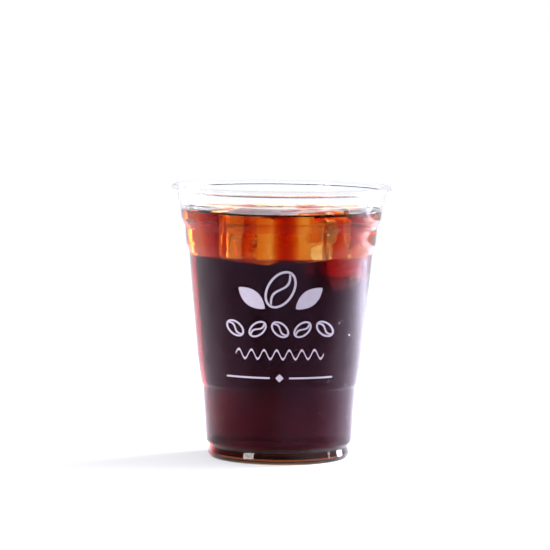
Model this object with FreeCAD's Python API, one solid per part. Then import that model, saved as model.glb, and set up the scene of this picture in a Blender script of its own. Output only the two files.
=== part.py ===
# Cold brew coffee over ice in a clear, thin-walled plastic cup of 16 fluid ounces, open at the top.
#
# The cup is one sheet of plastic, formed over a mould: a bottom panel pushed up off the table, a
# hollow foot, a lower wall, a small step, a long tapering wall, two stacking ledges, a lid seat and
# a lip rolled outwards. The coffee fills the cup, its foot included, up to the fill line, and climbs
# the wall a little at its edge. The ice that floats in it counts as coffee here.
#
# Millimetres, +Z up. The origin is the centre of the base, on the table.
import FreeCAD, Part
import math
import os
from collections import namedtuple

Vector = FreeCAD.Vector
Corner = namedtuple("Corner", "radius height rounding")

# Overall sizes.
cup_height = 121.5
rim_diameter = 98.0
foot_diameter = 63.4
wall = 0.4

# The rolled lip: the radius of its hollow, and how far round it is rolled, in degrees.
lip_bore = 1.0
lip_turn = 285.0
lip_land = 0.4

# Neck, between the lip and the lid seat.
neck_flare = 0.6
neck_rounding = 2.0

# Lid seat: its depth under the top of the lip, how far it falls and how far it steps in.
lid_seat_depth = 6.5
lid_seat_fall = 1.0
lid_seat_step = 0.7
lid_seat_rounding = 0.6

# Collar, between the lid seat and the upper stacking ledge.
collar_length = 7.0
collar_taper = 0.75

# Upper stacking ledge, the band under it, and the lower stacking ledge.
upper_ledge_fall = 4.2
upper_ledge_step = 1.65
upper_ledge_rounding = 2.0
band_length = 7.2
band_taper = 0.65
lower_ledge_fall = 4.2
lower_ledge_step = 1.4
lower_ledge_rounding = 2.2

# Tuck, where the long wall turns in towards the step under it.
tuck_radius = 36.7
tuck_height = 44.5
tuck_rounding = 30.0

# Step in the wall, a third of the way up.
step_radius = 34.95
step_height = 33.3
step_in = 0.7
step_fall = 1.1
step_rounding = 0.7

# Foot: the body's lower corner, the groove under it, the foot's widest ring and its tread.
corner_radius = 32.5
corner_height = 7.2
corner_rounding = 1.5
groove_depth = 0.8
groove_height = 5.2
groove_rounding = 0.7
foot_ring_height = 1.9
foot_ring_rounding = 1.2
tread_inset = 1.0
tread_width = 3.0
tread_rounding = 1.0

# Bottom panel, pushed up off the table, with a raised disc in its middle.
panel_height = 1.8
panel_draft = 0.9
panel_rounding = 0.8
disc_radius = 17.0
disc_rise = 0.6
disc_slope = 1.2
disc_rounding = 0.8

# Coffee: its level under the top of the lip, its edge on the wall, and its gap to the plastic.
fill_depth = 11.2
meniscus_height = 0.9
meniscus_width = 2.2
film_gap = 0.05

FULL_TURN = 360.0
LONGEST_TANGENT = 0.45  # the share of a run that the rounding at one of its ends may use
LEAST_ROUNDING = 0.05


def sheet_outline():
    """The plastic's outer side as corners, from the axis under the panel out, round the foot and up."""
    rim_radius = rim_diameter / 2
    foot_radius = foot_diameter / 2
    lip_radius = lip_bore + wall

    neck_radius = rim_radius - 2 * lip_radius + wall
    lip_height = cup_height - lip_radius
    seat_radius = neck_radius - neck_flare
    seat_height = cup_height - lid_seat_depth
    collar_radius = seat_radius - lid_seat_step
    collar_height = seat_height - lid_seat_fall
    upper_radius = collar_radius - collar_taper
    upper_height = collar_height - collar_length
    band_radius = upper_radius - upper_ledge_step
    band_height = upper_height - upper_ledge_fall
    lower_radius = band_radius - band_taper
    lower_height = band_height - band_length
    ledge_radius = lower_radius - lower_ledge_step
    ledge_height = lower_height - lower_ledge_fall

    tread_outer = foot_radius - tread_inset
    tread_inner = tread_outer - tread_width
    panel_radius = tread_inner - panel_draft
    disc_height = panel_height + disc_rise

    return [
        Corner(0.0, disc_height, 0.0),
        Corner(disc_radius, disc_height, disc_rounding),
        Corner(disc_radius + disc_slope, panel_height, disc_rounding),
        Corner(panel_radius, panel_height, panel_rounding),
        Corner(tread_inner, 0.0, tread_rounding),
        Corner(tread_outer, 0.0, tread_rounding),
        Corner(foot_radius, foot_ring_height, foot_ring_rounding),
        Corner(foot_radius - groove_depth, groove_height, groove_rounding),
        Corner(corner_radius, corner_height, corner_rounding),
        Corner(step_radius - step_in, step_height - step_fall, step_rounding),
        Corner(step_radius, step_height, step_rounding),
        Corner(tuck_radius, tuck_height, tuck_rounding),
        Corner(ledge_radius, ledge_height, lower_ledge_rounding),
        Corner(lower_radius, lower_height, lower_ledge_rounding),
        Corner(band_radius, band_height, upper_ledge_rounding),
        Corner(upper_radius, upper_height, upper_ledge_rounding),
        Corner(collar_radius, collar_height, lid_seat_rounding),
        Corner(seat_radius, seat_height, lid_seat_rounding),
        Corner(neck_radius, lip_height - lip_land, neck_rounding),
        Corner(neck_radius, lip_height, 0.0),
    ]


def direction(start, end):
    """The unit vector (across, up) from one corner to another."""
    length = math.hypot(end.radius - start.radius, end.height - start.height)
    return (end.radius - start.radius) / length, (end.height - start.height) / length


def moved_in(outline, depth):
    """The outline at a depth under its outer side: each run moves sideways and meets the next one again."""
    runs = [direction(a, b) for a, b in zip(outline, outline[1:])]
    before = [runs[0]] + runs
    after = runs + [runs[-1]]
    moved = []
    for corner, (across_in, up_in), (across_out, up_out) in zip(outline, before, after):
        share = depth / (1 + across_in * across_out + up_in * up_out)
        left_turn = across_in * up_out - up_in * across_out > 0
        rounding = corner.rounding - depth if left_turn else corner.rounding + depth
        moved.append(
            Corner(
                corner.radius - share * (up_in + up_out),
                corner.height + share * (across_in + across_out),
                max(rounding, LEAST_ROUNDING),
            )
        )
    return moved


def cut_at(outline, height):
    """The outline up to a height on its wall."""
    for number, (low, high) in enumerate(zip(outline, outline[1:])):
        if low.height < height <= high.height and low.radius > tread_width:
            top = (height - low.height) / (high.height - low.height)
            radius = low.radius + top * (high.radius - low.radius)
            crossing = number
    return outline[: crossing + 1] + [Corner(radius, height, 0.0)]


def point(radius, height):
    return Vector(radius, 0, height)


def line(start, end):
    return Part.LineSegment(start, end).toShape()


def arc(start, middle, end):
    return Part.Arc(start, middle, end).toShape()


def rounded_edges(outline):
    """Straight runs joined by tangent arcs at the corners, as a list of edges."""
    edges = []
    here = point(outline[0].radius, outline[0].height)
    for before, corner, after in zip(outline, outline[1:], outline[2:]):
        tip = point(corner.radius, corner.height)
        back = point(before.radius, before.height) - tip
        on = point(after.radius, after.height) - tip
        half_turn = (math.pi - back.getAngle(on)) / 2
        longest = LONGEST_TANGENT * min(back.Length, on.Length)
        tangent = min(corner.rounding * math.tan(half_turn), longest)
        radius = tangent / math.tan(half_turn)
        back.normalize()
        on.normalize()
        inwards = (back + on).normalize()
        arc_start = tip + back * tangent
        arc_end = tip + on * tangent
        arc_middle = tip + inwards * (radius / math.cos(half_turn) - radius)
        edges.append(line(here, arc_start))
        edges.append(arc(arc_start, arc_middle, arc_end))
        here = arc_end
    edges.append(line(here, point(outline[-1].radius, outline[-1].height)))
    return edges


def turned(edges):
    """The solid that a closed section makes when it is turned round the axis."""
    section = Part.Face(Part.Wire(Part.__sortEdges__(edges)))
    solid = section.revolve(Vector(0, 0, 0), Vector(0, 0, 1), FULL_TURN)
    return Part.makeSolid(solid) if solid.ShapeType != "Solid" else solid


def lip_edges(neck):
    """The rolled lip: two arcs round its hollow, and the edge of the sheet between their ends."""
    centre = point(neck.radius + lip_bore, neck.height)

    def on_roll(radius, degrees):
        """A point of the roll, so many degrees on from the neck, over the top and outwards."""
        angle = math.radians(180 - degrees)
        return centre + Vector(math.cos(angle), 0, math.sin(angle)) * radius

    inner = lip_bore
    outer = lip_bore + wall
    half = lip_turn / 2
    return [
        arc(on_roll(inner, 0), on_roll(inner, half), on_roll(inner, lip_turn)),
        line(on_roll(inner, lip_turn), on_roll(outer, lip_turn)),
        arc(on_roll(outer, lip_turn), on_roll(outer, half), on_roll(outer, 0)),
    ]


def cup():
    """The cup's sheet: its outer side, the lip, its inner side and the cut along the axis."""
    outside = sheet_outline()
    inside = moved_in(outside, wall)
    axis = line(point(0, inside[0].height), point(0, outside[0].height))
    return turned(
        rounded_edges(outside) + lip_edges(outside[-1]) + rounded_edges(inside) + [axis]
    )


def coffee():
    """The coffee: the inside of the cup up to the fill line, with an edge that climbs the wall."""
    level = cup_height - fill_depth
    wetted = cut_at(moved_in(sheet_outline(), wall + film_gap), level + meniscus_height)
    edge = wetted[-1]
    curve = (meniscus_width**2 + meniscus_height**2) / (2 * meniscus_height)
    half_slope = math.asin(meniscus_width / curve) / 2
    shore = edge.radius - meniscus_width
    top = point(edge.radius, edge.height)
    middle = point(
        shore + curve * math.sin(half_slope),
        level + curve * (1 - math.cos(half_slope)),
    )
    return turned(
        rounded_edges(wetted)
        + [
            arc(top, middle, point(shore, level)),
            line(point(shore, level), point(0, level)),
            line(point(0, level), point(0, wetted[0].height)),
        ]
    )


def main():
    os.makedirs("parts", exist_ok=True)
    for node, shape in {"cup": cup(), "coffee": coffee()}.items():
        shape.exportStep(f"parts/{node}.step")
        size = shape.BoundBox
        print(
            f"{node}: {size.XLength:.2f} x {size.YLength:.2f} x {size.ZLength:.2f} mm, "
            f"{shape.Volume / 1000:.1f} ml, valid {shape.isValid()}"
        )


main()
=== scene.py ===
# %% [markdown]
# # Iced cold brew in a clear plastic cup
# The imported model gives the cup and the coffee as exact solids. They load as a fixed frame, in metres,
# with the table at z = 0 and the cup's axis on Z. The sizes of the drink and the cup are read from that
# frame, so the pieces made here fit it with nothing to adjust.

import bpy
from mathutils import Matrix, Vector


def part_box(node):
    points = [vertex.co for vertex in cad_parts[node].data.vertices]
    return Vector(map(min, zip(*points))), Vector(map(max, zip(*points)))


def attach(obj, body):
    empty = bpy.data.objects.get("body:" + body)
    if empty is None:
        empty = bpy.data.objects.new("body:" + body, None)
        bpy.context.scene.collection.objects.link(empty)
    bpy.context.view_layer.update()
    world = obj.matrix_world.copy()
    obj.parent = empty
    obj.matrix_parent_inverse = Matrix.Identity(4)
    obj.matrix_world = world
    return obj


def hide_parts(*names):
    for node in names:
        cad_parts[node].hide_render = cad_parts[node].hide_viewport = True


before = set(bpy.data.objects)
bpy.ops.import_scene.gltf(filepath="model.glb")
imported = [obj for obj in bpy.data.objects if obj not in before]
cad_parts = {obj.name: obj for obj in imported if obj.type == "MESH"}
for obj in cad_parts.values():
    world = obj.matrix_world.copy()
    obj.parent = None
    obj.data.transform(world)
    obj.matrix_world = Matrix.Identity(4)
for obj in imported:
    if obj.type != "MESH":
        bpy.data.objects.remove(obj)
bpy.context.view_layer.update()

import math
import random

import bpy
from mathutils import Matrix, Vector

cup_high = Vector(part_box("cup")[1])
coffee_high = Vector(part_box("coffee")[1])
rim_radius = cup_high.x
print(f"cup {cup_high.z * 1000:.1f} mm high, rim {rim_radius * 2000:.1f} mm across")

# %% [markdown]
# ## Working by hand, from a script
# An operator acts on all that is selected, so each step starts with nothing selected. In edit mode a
# test picks the vertices, faces or edges by their place, as a hand would pick them in the viewport.

# %% Selecting and finishing
def only(piece):
    """Selects one piece and makes it the active one."""
    bpy.ops.object.select_all(action="DESELECT")
    piece.select_set(True)
    bpy.context.view_layer.objects.active = piece
    return piece


def object_mode():
    bpy.ops.object.mode_set(mode="OBJECT")


def pick(piece, kind, test):
    """Goes into edit mode with only the vertices, edges or faces selected that pass a test."""
    only(piece)
    bpy.ops.object.mode_set(mode="EDIT")
    bpy.ops.mesh.select_mode(type=kind)
    bpy.ops.mesh.select_all(action="DESELECT")
    object_mode()
    parts = {"VERT": piece.data.vertices, "EDGE": piece.data.edges, "FACE": piece.data.polygons}[kind]
    for part in parts:
        part.select = test(part)
    bpy.ops.object.mode_set(mode="EDIT")


def everything(part):
    return True


def apply_modifier(piece, kind, **settings):
    """Adds a modifier with its settings and applies it."""
    modifier = only(piece).modifiers.new(kind.title(), kind)
    for name, value in settings.items():
        setattr(modifier, name, value)
    bpy.ops.object.modifier_apply(modifier=modifier.name)


def settle(piece):
    """Puts a piece's place, turn and scale into its mesh."""
    only(piece)
    bpy.ops.object.transform_apply(location=True, rotation=True, scale=True)
    return piece


def copied(piece):
    """A copy with a mesh of its own."""
    copy = piece.copy()
    copy.data = piece.data.copy()
    bpy.context.collection.objects.link(copy)
    return copy


def joined(pieces, name):
    """Makes one piece of several."""
    bpy.ops.object.select_all(action="DESELECT")
    for piece in pieces:
        piece.select_set(True)
    bpy.context.view_layer.objects.active = pieces[0]
    bpy.ops.object.join()
    pieces[0].name = pieces[0].data.name = name
    return pieces[0]


# %% [markdown]
# ## Making materials
# Every finish starts from Blender's Principled shader. What is the same all over a surface is set on the
# shader's own socket. What varies comes from a noise texture. It could follow a UV map, but noise on Object
# coordinates needs none, stays on the piece and has the same scale everywhere.

# %% Material helpers
def new_material(name, sockets):
    """A material, with values for the sockets of its Principled shader."""
    material = bpy.data.materials.new(name)
    material.use_nodes = True
    nodes, links = material.node_tree.nodes, material.node_tree.links
    for socket, value in sockets.items():
        nodes["Principled BSDF"].inputs[socket].default_value = value
    print(f"material: {name}")
    return material, nodes, links


def grey(value):
    return (value, value, value, 1)


def noise(nodes, links, scale, detail=3.0, stretch=(1, 1, 1)):
    """A noise texture on Object coordinates, stretched by a Mapping node."""
    place = nodes.new("ShaderNodeTexCoord")
    mapping = nodes.new("ShaderNodeMapping")
    mapping.inputs["Scale"].default_value = stretch
    texture = nodes.new("ShaderNodeTexNoise")
    texture.inputs["Scale"].default_value = scale
    texture.inputs["Detail"].default_value = detail
    links.new(place.outputs["Object"], mapping.inputs["Vector"])
    links.new(mapping.outputs["Vector"], texture.inputs["Vector"])
    return texture.outputs["Fac"]


def ranged(nodes, links, source, start, end, low, high):
    """Maps the values of a source from start and end to low and high."""
    node = nodes.new("ShaderNodeMapRange")
    node.inputs["From Min"].default_value = start
    node.inputs["From Max"].default_value = end
    node.inputs["To Min"].default_value = low
    node.inputs["To Max"].default_value = high
    links.new(source, node.inputs["Value"])
    return node.outputs["Result"]


def bumped(nodes, links, height, strength, distance):
    """Puts a height on the Principled shader as bump."""
    bump = nodes.new("ShaderNodeBump")
    bump.inputs["Strength"].default_value = strength
    bump.inputs["Distance"].default_value = distance
    links.new(height, bump.inputs["Height"])
    links.new(bump.outputs["Normal"], nodes["Principled BSDF"].inputs["Normal"])

# %% [markdown]
# ## Four kinds of plastic
# The sheet is smooth and colourless, so nearly all its light goes through, and faint upright ripples from
# forming bend it a little. It shows four finishes:
#
# - clear, above the drink;
# - fogged, on the outside below the stacking ledges, where cold condensation scatters a little pale light
#   and blurs what is behind;
# - the foot, which stays clear and catches sharp highlights;
# - wet, on the inside, where the drink touches it and it hardly reflects at all.
#
# Specular Tint scales how much a surface facing us reflects. The pieces overlap, so a ray meets two
# surfaces in air where the real drink has one weak one, and a low tint takes those extra reflections away.

# %% Plastics
RIPPLE_SCALE = 60
UPRIGHT = (1, 1, 0.35)
SHEET = {
    "Base Color": (0.97, 0.975, 0.99, 1),
    "Transmission Weight": 1.0,
    "Roughness": 0.015,
    "IOR": 1.42,
}


def rippled(nodes, links, strength=0.12, distance=0.0006):
    bumped(nodes, links, noise(nodes, links, RIPPLE_SCALE, 2.0, UPRIGHT), strength, distance)


clear_plastic, nodes, links = new_material("clear_plastic", {**SHEET, "Specular Tint": grey(0.2)})
rippled(nodes, links)

wet_plastic, nodes, links = new_material("wet_plastic", {**SHEET, "Specular Tint": grey(0.03)})
rippled(nodes, links)

foot_plastic, nodes, links = new_material("foot_plastic", {
    "Base Color": (0.97, 0.97, 0.99, 1),
    "Transmission Weight": 1.0,
    "Roughness": 0.01,
    "IOR": 1.52,
    "Specular Tint": grey(0.6),
})
rippled(nodes, links, 0.05, 0.0004)

fogged_plastic, nodes, links = new_material("fogged_plastic", {
    "Base Color": (0.82, 0.52, 0.92, 1),
    "IOR": 1.42,
    "Specular Tint": grey(0.04),
})
shader = nodes["Principled BSDF"]
fog = noise(nodes, links, 45, 4.0, (1, 1, 0.4))
links.new(ranged(nodes, links, fog, 0.35, 0.65, 0.997, 0.983), shader.inputs["Transmission Weight"])
links.new(ranged(nodes, links, fog, 0.35, 0.65, 0.06, 0.16), shader.inputs["Roughness"])
rippled(nodes, links)

# %% [markdown]
# ## The cup
# The cup is a sheet of plastic turned round an axis. The CAD mesh is exact but made for measuring: its
# loose triangles would show as facets in clear plastic. So its section is kept, from the seam where the
# CAD surface starts and ends, and spun again in even steps. That gives the same sizes and smooth quads.
# The ends of the section are first drawn out to the axis, so that the spun piece is closed there.

# %% Spinning a section
SPIN_STEPS = 192
ON_SEAM = 1e-7
MERGE = 1e-6


def spun(node, name):
    """A copy of a CAD node, cut down to its section on +X and spun round Z in even steps."""
    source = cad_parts[node]
    piece = bpy.data.objects.new(name, source.data.copy())
    bpy.context.collection.objects.link(piece)
    piece.data.materials.clear()
    pick(piece, "VERT", everything)
    bpy.ops.mesh.remove_doubles(threshold=MERGE)
    object_mode()
    pick(piece, "VERT", lambda vertex: abs(vertex.co.y) >= ON_SEAM or vertex.co.x <= -ON_SEAM)
    bpy.ops.mesh.delete(type="VERT")
    bpy.ops.mesh.select_all(action="SELECT")
    bpy.ops.mesh.delete(type="ONLY_FACE")
    object_mode()

    uses = [0] * len(piece.data.vertices)
    for edge in piece.data.edges:
        for vertex in edge.vertices:
            uses[vertex] += 1
    pick(piece, "VERT", lambda vertex: uses[vertex.index] == 1)
    bpy.ops.mesh.extrude_region_move()
    bpy.ops.transform.resize(value=(0, 1, 1), center_override=(0, 0, 0))

    bpy.ops.mesh.select_all(action="SELECT")
    bpy.ops.mesh.spin(steps=SPIN_STEPS, angle=2 * math.pi, center=(0, 0, 0), axis=(0, 0, 1))
    bpy.ops.mesh.select_all(action="SELECT")
    bpy.ops.mesh.remove_doubles(threshold=2 * MERGE)
    bpy.ops.mesh.normals_make_consistent(inside=False)
    object_mode()
    piece.data.shade_smooth()
    print(f"{name}: {len(piece.data.vertices)} vertices, {len(piece.data.polygons)} faces")
    return piece


cup = spun("cup", "cup_wall")

# %% [markdown]
# The plastics could be masked inside one material, but a sheet has two sides, and a mask by height can't
# tell them apart. So each face gets a material. A face is on the outer side when its normal points away
# from the axis. The fog lies outside, from just above the foot's groove to just under the lower stacking
# ledge, with the foot's plastic below. The wet plastic lies inside, up to where the coffee's edge climbs.

# %% Giving each face its plastic
fog_low = 0.075 * cup_high.z
fog_high = 0.73 * cup_high.z
foot_top = 0.045 * cup_high.z
plastics = [clear_plastic, fogged_plastic, foot_plastic, wet_plastic]
for plastic in plastics:
    cup.data.materials.append(plastic)


def plastic_of(face):
    outwards = face.center.x * face.normal.x + face.center.y * face.normal.y
    if outwards > 0 and fog_low < face.center.z < fog_high:
        return fogged_plastic
    if outwards > 0 and face.center.z < foot_top:
        return foot_plastic
    if outwards < 0 and face.center.z < coffee_high.z:
        return wet_plastic
    return clear_plastic


for face in cup.data.polygons:
    face.material_index = plastics.index(plastic_of(face))
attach(cup, "root")
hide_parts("cup")
for number, plastic in enumerate(plastics):
    print(f"{plastic.name}: {sum(face.material_index == number for face in cup.data.polygons)} faces")

# %% [markdown]
# ## Ice
# Ice cubes crowd at the top of the drink, nearly all of each under the surface. Ice could be plain glass
# with a lower IOR, but real cubes are frosted in places: a noise texture takes a little of their
# transmission away, and the same noise roughens them as bump.

# %% Ice material
ice_clear, nodes, links = new_material("ice", {
    "Base Color": (0.98, 0.985, 1.0, 1),
    "Roughness": 0.06,
    "IOR": 1.31,
    "Specular Tint": grey(0.2),
})
frost = noise(nodes, links, 90)
clouding = ranged(nodes, links, frost, 0.5, 0.8, 1.0, 0.97)
links.new(clouding, nodes["Principled BSDF"].inputs["Transmission Weight"])
bumped(nodes, links, frost, 0.25, 0.0008)

# %% [markdown]
# The cubes become one piece by union, and later that piece is cut out of the coffee. The exact solver now
# and then loses a shape, and a drink without its ice would look finished and be wrong. So each result's
# volume is compared with what it can be. A wrong one is undone, and tried again with the tool moved by
# about a tenth of a millimetre.

# %% Adding and cutting, checked
NUDGE = Vector((0.00007, -0.00005, 0.00006))
MOST_TRIES = 12


def volume(piece):
    """What a closed piece holds, in millilitres."""
    piece.data.calc_loop_triangles()
    total = 0.0
    for triangle in piece.data.loop_triangles:
        a, b, c = (piece.data.vertices[corner].co for corner in triangle.vertices)
        total += a.dot(b.cross(c)) / 6
    return total * 1e6


def combine(piece, tool, operation):
    """Adds a tool to a piece or cuts it out, and removes the tool."""
    whole, part = volume(piece), volume(tool)
    least, most = {
        "UNION": (1.02 * max(whole, part), 1.01 * (whole + part)),
        "DIFFERENCE": (whole - 1.02 * part, whole - 0.6 * part),
    }[operation]
    for nudges in range(MOST_TRIES):
        before = piece.data.copy()
        apply_modifier(piece, "BOOLEAN", operation=operation, object=tool, solver="EXACT")
        if least < volume(piece) < most:
            print(f"{operation} {tool.name}: {volume(piece):.2f} ml, {nudges} nudges")
            bpy.data.objects.remove(tool)
            return
        piece.data = before
        for vertex in tool.data.vertices:
            vertex.co += NUDGE
    raise RuntimeError(f"{operation} {tool.name}: no whole result")

# %% [markdown]
# Each cube is a block with melted, rounded edges and uneven sides. It could be sculpted, but a cube that is
# bevelled, subdivided and displaced a little by a cloud texture looks the same, and the texture differs from
# place to place, so no two are alike. Seven stand in a loose ring round the wall, one fills the middle, and
# two more hang lower on the right, where light shines through them under the ledge.

# %% Ice cubes
MELTED_EDGE = 0.0018
UNEVEN = 0.0020
melt = bpy.data.textures.new("melt", "CLOUDS")
melt.noise_scale = 0.012


def ice_cube(number, x, y, z, width, depth, height, turn, tilt):
    """One melted cube: its centre, its sizes in metres and how it is turned and tilted in degrees."""
    bpy.ops.object.select_all(action="DESELECT")
    bpy.ops.mesh.primitive_cube_add(size=1, location=(x, y, z))
    cube = bpy.context.active_object
    cube.name = f"ice_{number}"
    cube.scale = (width, depth, height)
    cube.rotation_euler = (math.radians(tilt[0]), math.radians(tilt[1]), math.radians(turn))
    settle(cube)
    pick(cube, "EDGE", everything)
    bpy.ops.mesh.bevel(offset=MELTED_EDGE, segments=3, affect="EDGES")
    bpy.ops.mesh.select_all(action="SELECT")
    bpy.ops.mesh.subdivide(number_cuts=4, smoothness=0)
    object_mode()
    apply_modifier(cube, "DISPLACE", texture=melt, texture_coords="LOCAL", strength=UNEVEN, mid_level=0.5)
    return cube


MENISCUS_HEIGHT = 0.0009
level = coffee_high.z - MENISCUS_HEIGHT
ring_radius = 0.665 * coffee_high.x
cubes = [
    ice_cube(9, 0.0175, 0.0160, level - 0.0230, 0.0240, 0.0280, 0.0160, 12, (-10, 9)),
    ice_cube(8, 0.0245, -0.0165, level - 0.0215, 0.0190, 0.0230, 0.0170, 22, (14, -16)),
    ice_cube(7, 0.000, 0.000, level - 0.0100, 0.0270, 0.0275, 0.0205, 20, (2, 2)),
]
ring = [
    # angle, how far out, width, depth, height, top above the level, tilt
    (-62, 1.00, 0.0262, 0.0262, 0.0212, 0.0010, (3, -5)),
    (-113, 0.99, 0.0262, 0.0256, 0.0206, 0.0006, (-5, 3)),
    (-166, 1.00, 0.0300, 0.0262, 0.0208, 0.0006, (2, -2)),
    (-11, 1.00, 0.0290, 0.0258, 0.0205, 0.0004, (5, 3)),
    (40, 1.00, 0.0245, 0.0250, 0.0200, 0.0000, (3, 2)),
    (91, 1.00, 0.0250, 0.0255, 0.0200, -0.0004, (-2, -3)),
    (142, 1.00, 0.0250, 0.0250, 0.0200, 0.0000, (2, 3)),
]
for number, (angle, out, width, depth, height, above, tilt) in enumerate(ring):
    x = math.cos(math.radians(angle)) * ring_radius * out
    y = math.sin(math.radians(angle)) * ring_radius * out
    cubes.append(ice_cube(number, x, y, level + above - height / 2, depth, width, height, angle, tilt))
print(f"{len(cubes)} cubes, {sum(volume(cube) for cube in cubes):.1f} ml before they are joined")

# %% [markdown]
# A cube that reaches the wall has melted to its curve. It could be cut with the cup, but that leaves sharp
# corners, so every point of the ice is drawn in until it is a little inside the coffee's side. The radius
# of that side at each height is read from the coffee's own vertices, without those of the bottom and of the
# rising edge. The pull grows smoothly over the last two millimetres, so no face is crushed flat.

# %% Keeping the ice inside the wall
WALL_FROM = 0.029
CLOSE = 0.00001
ICE_GAP = 0.0006
SOFT = 0.002


def from_axis(point):
    return math.hypot(point.x, point.y)


side = sorted({
    (round(vertex.co.z, 5), round(from_axis(vertex.co), 6))
    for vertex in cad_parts["coffee"].data.vertices
    if from_axis(vertex.co) > WALL_FROM and not level - CLOSE < vertex.co.z < coffee_high.z - CLOSE
})


def side_radius(z):
    """The coffee's radius at a height, between the vertices just above and below it."""
    below_z, below_radius = [spot for spot in side if spot[0] <= z][-1]
    above_z, above_radius = [spot for spot in side if spot[0] > z][0]
    return below_radius + (above_radius - below_radius) * (z - below_z) / max(above_z - below_z, 1e-9)


pulled = 0
for cube in cubes:
    for vertex in cube.data.vertices:
        radius = from_axis(vertex.co)
        limit = side_radius(min(vertex.co.z, level)) - ICE_GAP
        if radius > limit - SOFT:
            nearer = limit - SOFT * math.exp((limit - SOFT - radius) / SOFT)
            vertex.co.x *= nearer / radius
            vertex.co.y *= nearer / radius
            pulled += 1
print(f"{pulled} points held back from the wall")

# %% Joining the ice
ice = cubes[0]
for cube in cubes[1:]:
    combine(ice, cube, "UNION")
ice.name = ice.data.name = "ice_cubes"
only(ice)
bpy.ops.object.shade_smooth_by_angle(angle=math.radians(40))
ice.data.materials.clear()
ice.data.materials.append(ice_clear)
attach(ice, "root")
print(f"ice: {len(ice.data.polygons)} faces")

# %% [markdown]
# ## Coffee
# Cold brew is clear but deeply coloured: a thin layer is orange, a few millimetres more are red, and the
# full cup is nearly black. A dark surface colour would look like paint where the layer is thin. Volume
# Absorption gives all three from one colour: it takes hardly any red, more green and nearly all the blue,
# so what comes through changes with depth.

# %% Coffee material
coffee_liquid, nodes, links = new_material("coffee_liquid", {
    "Base Color": (1, 1, 1, 1),
    "Transmission Weight": 1.0,
    "Roughness": 0.0,
    "IOR": 1.33,
    "Specular Tint": grey(0),
})
absorption = nodes.new("ShaderNodeVolumeAbsorption")
absorption.inputs["Color"].default_value = (0.930, 0.65, 0.12, 1)
absorption.inputs["Density"].default_value = 900.0
links.new(absorption.outputs["Volume"], nodes["Material Output"].inputs["Volume"])

# %% [markdown]
# The coffee is spun from its CAD section too. A gap of air round it would show as a silver skin, so its
# side and bottom are pushed out to reach just into the plastic. The ice is cut out of it, because coffee
# left inside the cubes would make them as dark as the rest. Then the ice swells a little past the cut, so
# that there is no gap there either.

# %% Filling the cup
INTO_WALL = 0.00018
INTO_COFFEE = 0.00008

coffee = spun("coffee", "coffee_liquid")
coffee.data.materials.append(coffee_liquid)
pick(coffee, "VERT", lambda vertex: vertex.co.z < level - 0.0005)
bpy.ops.transform.shrink_fatten(value=INTO_WALL)
object_mode()
combine(coffee, copied(ice), "DIFFERENCE")

pick(ice, "VERT", everything)
bpy.ops.transform.shrink_fatten(value=INTO_COFFEE)
object_mode()

only(coffee)
bpy.ops.object.shade_smooth_by_angle(angle=math.radians(40))
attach(coffee, "root")
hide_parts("coffee")
print(f"coffee: {len(coffee.data.polygons)} faces, {[round(x * 1000, 2) for x in coffee.dimensions]} mm")

# %% [markdown]
# ## The print
# A one-colour print in pale ink sits on the front of the wall: a bean between two leaves, a row of beans, a
# wave and a rule. It could be a pattern in the plastic's material, but shapes of their own have sharp edges
# and their own ink. Each is drawn flat in front of the cup, thrown onto the wall by a Shrinkwrap modifier
# and given the ink's thickness by Solidify. Fine noise makes the ink a little uneven, as print is.

# %% Ink
ink, nodes, links = new_material("pale_ink", {"Roughness": 0.5})
speckle = nodes.new("ShaderNodeMix")
speckle.data_type = "RGBA"
speckle.inputs["A"].default_value = (0.46, 0.41, 0.52, 1)
speckle.inputs["B"].default_value = (0.60, 0.54, 0.66, 1)
links.new(noise(nodes, links, 900, 2.0), speckle.inputs["Factor"])
links.new(speckle.outputs["Result"], nodes["Principled BSDF"].inputs["Base Color"])

# %% Drawing flat shapes
FACING = {"rotation": (math.pi / 2, 0, 0), "location": (0, -1.3 * rim_radius, 0)}


def flat_oval(width, height, steps=40):
    """A filled oval that faces the reader, standing in front of the cup."""
    bpy.ops.object.select_all(action="DESELECT")
    bpy.ops.mesh.primitive_circle_add(vertices=steps, radius=0.5, fill_type="NGON", **FACING)
    shape = settle(bpy.context.active_object)
    for vertex in shape.data.vertices:
        vertex.co.x *= width
        vertex.co.z *= height
    return shape


def strip(width, height, columns, rows=1, curve=lambda share: (0.0, 1.0)):
    """A thin strip along X; curve gives, along it, its rise in metres and its share of the height."""
    bpy.ops.object.select_all(action="DESELECT")
    bpy.ops.mesh.primitive_grid_add(x_subdivisions=columns, y_subdivisions=rows, size=1, **FACING)
    shape = settle(bpy.context.active_object)
    for vertex in shape.data.vertices:
        rise, thick = curve(vertex.co.x + 0.5)
        vertex.co.x *= width
        vertex.co.z = vertex.co.z * height * thick + rise
    return shape


def placed(shape, x, z, turn=0.0):
    """Turns a flat shape in its own plane and moves it to its place on the wall."""
    cos, sin = math.cos(math.radians(turn)), math.sin(math.radians(turn))
    for vertex in shape.data.vertices:
        across, up = vertex.co.x, vertex.co.z
        vertex.co.x = across * cos - up * sin + x
        vertex.co.z = across * sin + up * cos + z
    return shape

# %% The print's motifs
def bean(width, height, line):
    """A bean: an outline, and an S along its middle."""
    outline = flat_oval(width, height)
    pick(outline, "FACE", everything)
    bpy.ops.mesh.inset(thickness=line, depth=0)
    bpy.ops.mesh.delete(type="FACE")
    object_mode()
    groove = strip(width * 0.86, line, 24,
                   curve=lambda share: (math.sin(share * 2 * math.pi) * height * 0.13, 1.0))
    return joined([outline, groove], "bean")


def leaf():
    """A leaf, pointed at both ends."""
    return strip(0.0145, 0.0068, 24, 10, lambda share: (0.0, math.sin(share * math.pi) ** 0.8 + 0.02))


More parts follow.
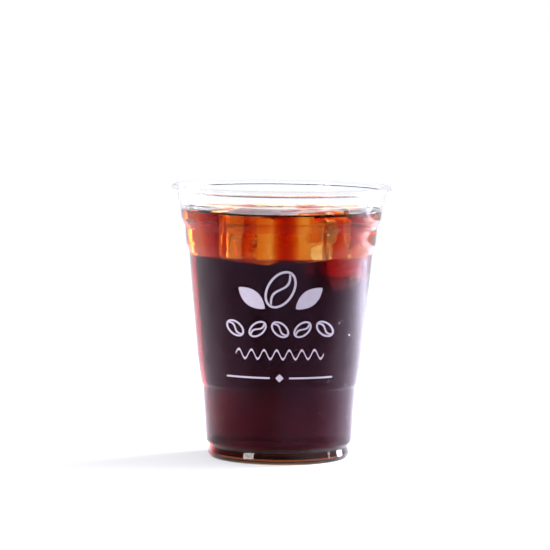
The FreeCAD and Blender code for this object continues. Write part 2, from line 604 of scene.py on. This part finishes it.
def wave(width):
    """Seven even waves."""
    return strip(width, 0.0010, 120, curve=lambda share: (math.sin(share * 14 * math.pi) * 0.0020, 1.0))


def diamond(size):
    return strip(size, size, 8, 4, lambda share: (0.0, 1.02 - abs(2 * share - 1)))

# %% The print's layout
PRINT_WIDTH = 0.047
emblem_z = 0.645 * cup_high.z
beans_z = 0.500 * cup_high.z
wave_z = 0.408 * cup_high.z
rule_z = 0.322 * cup_high.z

shapes = [placed(bean(0.0180, 0.0120, 0.0010), 0, emblem_z, 58)]
for side_sign in (-1, 1):
    shapes.append(placed(leaf(), side_sign * 0.0125, emblem_z - 0.0040, side_sign * 38))
for number in range(5):
    turn = 40 if number % 2 else -40
    shapes.append(placed(bean(0.0090, 0.0060, 0.0008), (number - 2) * 0.0098, beans_z, turn))
shapes.append(placed(wave(PRINT_WIDTH * 0.82), 0, wave_z))
for side_sign in (-1, 1):
    shapes.append(placed(strip(PRINT_WIDTH * 0.40, 0.0008, 40), side_sign * PRINT_WIDTH * 0.29, rule_z))
shapes.append(placed(diamond(0.0036), 0, rule_z))

artwork = joined(shapes, "wall_print")
pick(artwork, "FACE", everything)
bpy.ops.mesh.normals_make_consistent(inside=False)
object_mode()
apply_modifier(artwork, "SHRINKWRAP", target=cup, wrap_method="PROJECT", use_project_y=True,
               use_negative_direction=False, wrap_mode="ABOVE_SURFACE", offset=0.00004)
apply_modifier(artwork, "SOLIDIFY", thickness=0.00003, offset=0)
artwork.data.materials.clear()
artwork.data.materials.append(ink)
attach(artwork, "root")
print(f"print: {len(artwork.data.polygons)} faces")

# %% [markdown]
# ## Drops
# Condensation has gathered into small drops on the outside of the wall. They could be a bump in the
# plastic, but only a shape with its own surface bends light as a drop does. One drop is modelled, as a ball
# that is flattened behind and hangs a little at the bottom, and then copied. Each copy sits half in the
# surface, at a place found by casting a ray at the cup. The same seed gives the same drops every time.

# %% One drop
water = new_material("water", {
    "Base Color": (1, 1, 1, 1),
    "Transmission Weight": 1.0,
    "Roughness": 0.0,
    "IOR": 1.33,
})[0]

bpy.ops.object.select_all(action="DESELECT")
bpy.ops.mesh.primitive_ico_sphere_add(subdivisions=2, radius=1, location=(0, 0, 0))
first_drop = bpy.context.active_object
first_drop.scale = (0.6, 1.0, 1.15)
settle(first_drop)
pick(first_drop, "VERT", lambda vertex: vertex.co.z < -0.3)
bpy.ops.transform.translate(value=(0.1, 0, -0.06))
object_mode()
pick(first_drop, "VERT", lambda vertex: vertex.co.x < -0.2)
bpy.ops.transform.resize(value=(0.2, 1, 1), center_override=(-0.2, 0, 0))
object_mode()

# %% Its copies on the wall
DROPS = 70
DROP_SIZES = [0.00022, 0.00028, 0.00036, 0.0005]

dice = random.Random(7)
drops = []
for number in range(DROPS):
    turn = dice.choice([dice.gauss(-128, 16), dice.gauss(-52, 16), dice.uniform(0, 180)])
    height = dice.uniform(0.12, 0.70) * cup_high.z
    away = Vector((math.cos(math.radians(turn)), math.sin(math.radians(turn)), 0))
    start = away * rim_radius * 1.5 + Vector((0, 0, height))
    spot = cup.ray_cast(start, -away)[1]
    size = dice.choice(DROP_SIZES)
    drop = copied(first_drop)
    drop.location = spot
    drop.rotation_euler = (0, 0, math.radians(turn))
    drop.scale = (size, size, size * dice.uniform(0.9, 1.2))
    drops.append(settle(drop))
bpy.data.objects.remove(first_drop)
condensation = joined(drops, "condensation_drops")
condensation.data.shade_smooth()
condensation.data.materials.append(water)
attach(condensation, "root")
print(f"drops: {DROPS}, {len(condensation.data.polygons)} faces")

# %% [markdown]
# ## The world
# In a studio the cup stands before a white backdrop. A bright world would give that white, but would wash
# out the drink too. Light Path tells the kinds of ray apart: what is seen directly or through the plastic is
# plain white, and the world lights the object at a lower level. In reflections it is darker in front and on
# the left, as if black cards stood there, so that no pale veil lies on the dark drink.

# %% World
world = bpy.data.worlds.new("studio")
bpy.context.scene.world = world
world.use_nodes = True
nodes, links = world.node_tree.nodes, world.node_tree.links


nodes.remove(nodes["Background"])


def background(color, strength):
    """A Background shader, the light that a world gives off."""
    node = nodes.new("ShaderNodeBackground")
    node.inputs["Color"].default_value = color
    node.inputs["Strength"].default_value = strength
    return node


def chosen(factor, first, second):
    """A Mix Shader that gives the second shader where the factor is 1."""
    mix = nodes.new("ShaderNodeMixShader")
    links.new(factor, mix.inputs["Fac"])
    links.new(first, mix.inputs[1])
    links.new(second, mix.inputs[2])
    return mix.outputs["Shader"]


seen = background((1, 1, 1, 1), 1.0)
lighting = background((0.96, 0.97, 1, 1), 0.72)
mirrored = background((0.93, 0.92, 1, 1), 1.0)

coordinates = nodes.new("ShaderNodeTexCoord")
split = nodes.new("ShaderNodeSeparateXYZ")
links.new(coordinates.outputs["Generated"], split.inputs["Vector"])
towards_back_right = nodes.new("ShaderNodeMath")
towards_back_right.operation = "MULTIPLY_ADD"
towards_back_right.inputs[1].default_value = 1.2
links.new(split.outputs["X"], towards_back_right.inputs[0])
links.new(split.outputs["Y"], towards_back_right.inputs[2])
brightness = ranged(nodes, links, towards_back_right.outputs["Value"], -0.8, 0.4, 0.14, 1.0)
links.new(brightness, mirrored.inputs["Strength"])

rays = nodes.new("ShaderNodeLightPath")
direct = nodes.new("ShaderNodeMath")
direct.operation = "MAXIMUM"
links.new(rays.outputs["Is Camera Ray"], direct.inputs[0])
links.new(rays.outputs["Is Transmission Ray"], direct.inputs[1])
glossy = rays.outputs["Is Glossy Ray"]
surround = chosen(glossy, lighting.outputs["Background"], mirrored.outputs["Background"])
surface = chosen(direct.outputs["Value"], surround, seen.outputs["Background"])
links.new(surface, nodes["World Output"].inputs["Surface"])
print(f"world: {len(nodes)} nodes")

# %% [markdown]
# ## The floor
# The floor is pale and takes the cup's shadow. White paint would bounce too much light up, so its paint is
# a light grey, and a faint glow makes up the rest. Diffuse rays don't see that glow. The glow is weaker near
# the cup, which paints shade round the cup and deepens its shadow, and it gets paler away from the cup,
# where it meets the backdrop. A mirrored ray sees a dark card on the floor in front of the cup, for the same
# reason as the world is darker there.

# %% Floor
floor_paint, nodes, links = new_material("floor_paint", {
    "Base Color": (0.66, 0.66, 0.68, 1),
    "Roughness": 0.9,
    "Specular IOR Level": 0.0,
})


def math_node(operation, first, second):
    """A Math node whose inputs are numbers or other nodes' outputs."""
    node = nodes.new("ShaderNodeMath")
    node.operation = operation
    for socket, value in zip(node.inputs, (first, second)):
        if isinstance(value, float):
            socket.default_value = value
        else:
            links.new(value, socket)
    return node.outputs["Value"]


rays = nodes.new("ShaderNodeLightPath")
place = nodes.new("ShaderNodeTexCoord")
away = nodes.new("ShaderNodeVectorMath")
away.operation = "LENGTH"
links.new(place.outputs["Object"], away.inputs[0])
# The glow's strength rises from 0.31 near the cup to 0.56 far off: painted shade round the cup, paler where
# the floor meets the backdrop.
glow_with_painted_shade = ranged(nodes, links, away.outputs["Value"], 0.15, 1.6, 0.31, 0.56)
not_diffuse = math_node("SUBTRACT", 1.0, rays.outputs["Is Diffuse Ray"])
glow = nodes.new("ShaderNodeEmission")
glow.inputs["Color"].default_value = (0.97, 0.975, 1, 1)
links.new(math_node("MULTIPLY", not_diffuse, glow_with_painted_shade), glow.inputs["Strength"])
lit = nodes.new("ShaderNodeAddShader")
links.new(nodes["Principled BSDF"].outputs["BSDF"], lit.inputs[0])
links.new(glow.outputs["Emission"], lit.inputs[1])

split = nodes.new("ShaderNodeSeparateXYZ")
links.new(place.outputs["Object"], split.inputs["Vector"])
in_front = ranged(nodes, links, split.outputs["Y"], -0.04, -0.18, 0.0, 1.0)
card = nodes.new("ShaderNodeEmission")
card.inputs["Color"].default_value = (0.10, 0.09, 0.14, 1)
card_seen = math_node("MULTIPLY", in_front, rays.outputs["Is Reflection Ray"])
surface = chosen(card_seen, lit.outputs["Shader"], card.outputs["Emission"])
links.new(surface, nodes["Material Output"].inputs["Surface"])

bpy.ops.object.select_all(action="DESELECT")
bpy.ops.mesh.primitive_plane_add(size=12, location=(0, 0, 0))
floor = bpy.context.active_object
floor.name = "floor"
floor.data.materials.append(floor_paint)
print(f"floor: {floor.dimensions.x:.0f} m square")

# %% [markdown]
# ## Lamps and camera
# Small lamps would give hard spots on plastic, so each is a soft rectangle. The large one on the right lays
# the shadow out to the left. A narrower one, nearer and a little behind the cup, brightens its right edge,
# and one on the left puts the small window in the foot. The camera stands well back with a long lens, so
# that the cup keeps its true proportions, and looks down a few degrees.

# %% Lamps
middle = (0, 0, cup_high.z / 2)


def soft_lamp(name, place, size, watts, color=(1, 1, 1)):
    """A rectangular soft light at a place, facing the middle of the cup."""
    data = bpy.data.lights.new(name, "AREA")
    data.shape = "RECTANGLE"
    data.size, data.size_y = size
    data.energy = watts
    data.color = color
    lamp = bpy.data.objects.new(name, data)
    bpy.context.collection.objects.link(lamp)
    lamp.location = place
    lamp.rotation_euler = (Vector(middle) - Vector(place)).to_track_quat("-Z", "Y").to_euler()
    print(f"{name}: {watts} W")


soft_lamp("key_right", (1.1, 0.20, 0.45), (0.5, 0.6), 9)
soft_lamp("edge_right", (0.47, 0.30, 0.26), (0.28, 0.5), 15.0, (0.84, 0.83, 1.0))
soft_lamp("fill_left", (-0.78, -0.65, 0.42), (0.34, 0.6), 9.5)

# %% Camera
DISTANCE = 1.5
VIEW_WIDTH = 0.2455
SENSOR = 36
elevation = math.radians(5.2)
roll = Matrix.Rotation(math.radians(0.7), 4, "Z")
aim = Vector((-0.0025, 0.0, cup_high.z * 0.668))

camera_data = bpy.data.cameras.new("camera")
camera_data.sensor_width = SENSOR
camera_data.lens = SENSOR * DISTANCE / VIEW_WIDTH
camera_data.clip_start = 0.05
camera = bpy.data.objects.new("camera", camera_data)
bpy.context.collection.objects.link(camera)
bpy.context.scene.camera = camera
camera.location = aim + DISTANCE * Vector((0, -math.cos(elevation), math.sin(elevation)))
look = (aim - camera.location).to_track_quat("-Z", "Y").to_matrix().to_4x4()
camera.rotation_euler = (look @ roll).to_euler()
print(f"camera: {camera_data.lens:.0f} mm lens at {DISTANCE} m")

# %% [markdown]
# ## Light that goes all the way through
# A ray that crosses the cup meets the plastic, the coffee and several cubes, each with a surface on the way
# in and on the way out. Blender's usual 12 bounces aren't enough for that: the ray stops inside and the ice
# turns black. Colours are shown as they are written, with the Standard view.

# %% Colours and bounces
BOUNCES = 32
bpy.context.scene.view_settings.view_transform = "Standard"
bpy.context.scene.cycles.max_bounces = BOUNCES
bpy.context.scene.cycles.transmission_bounces = BOUNCES
print(f"bounces: {BOUNCES}")
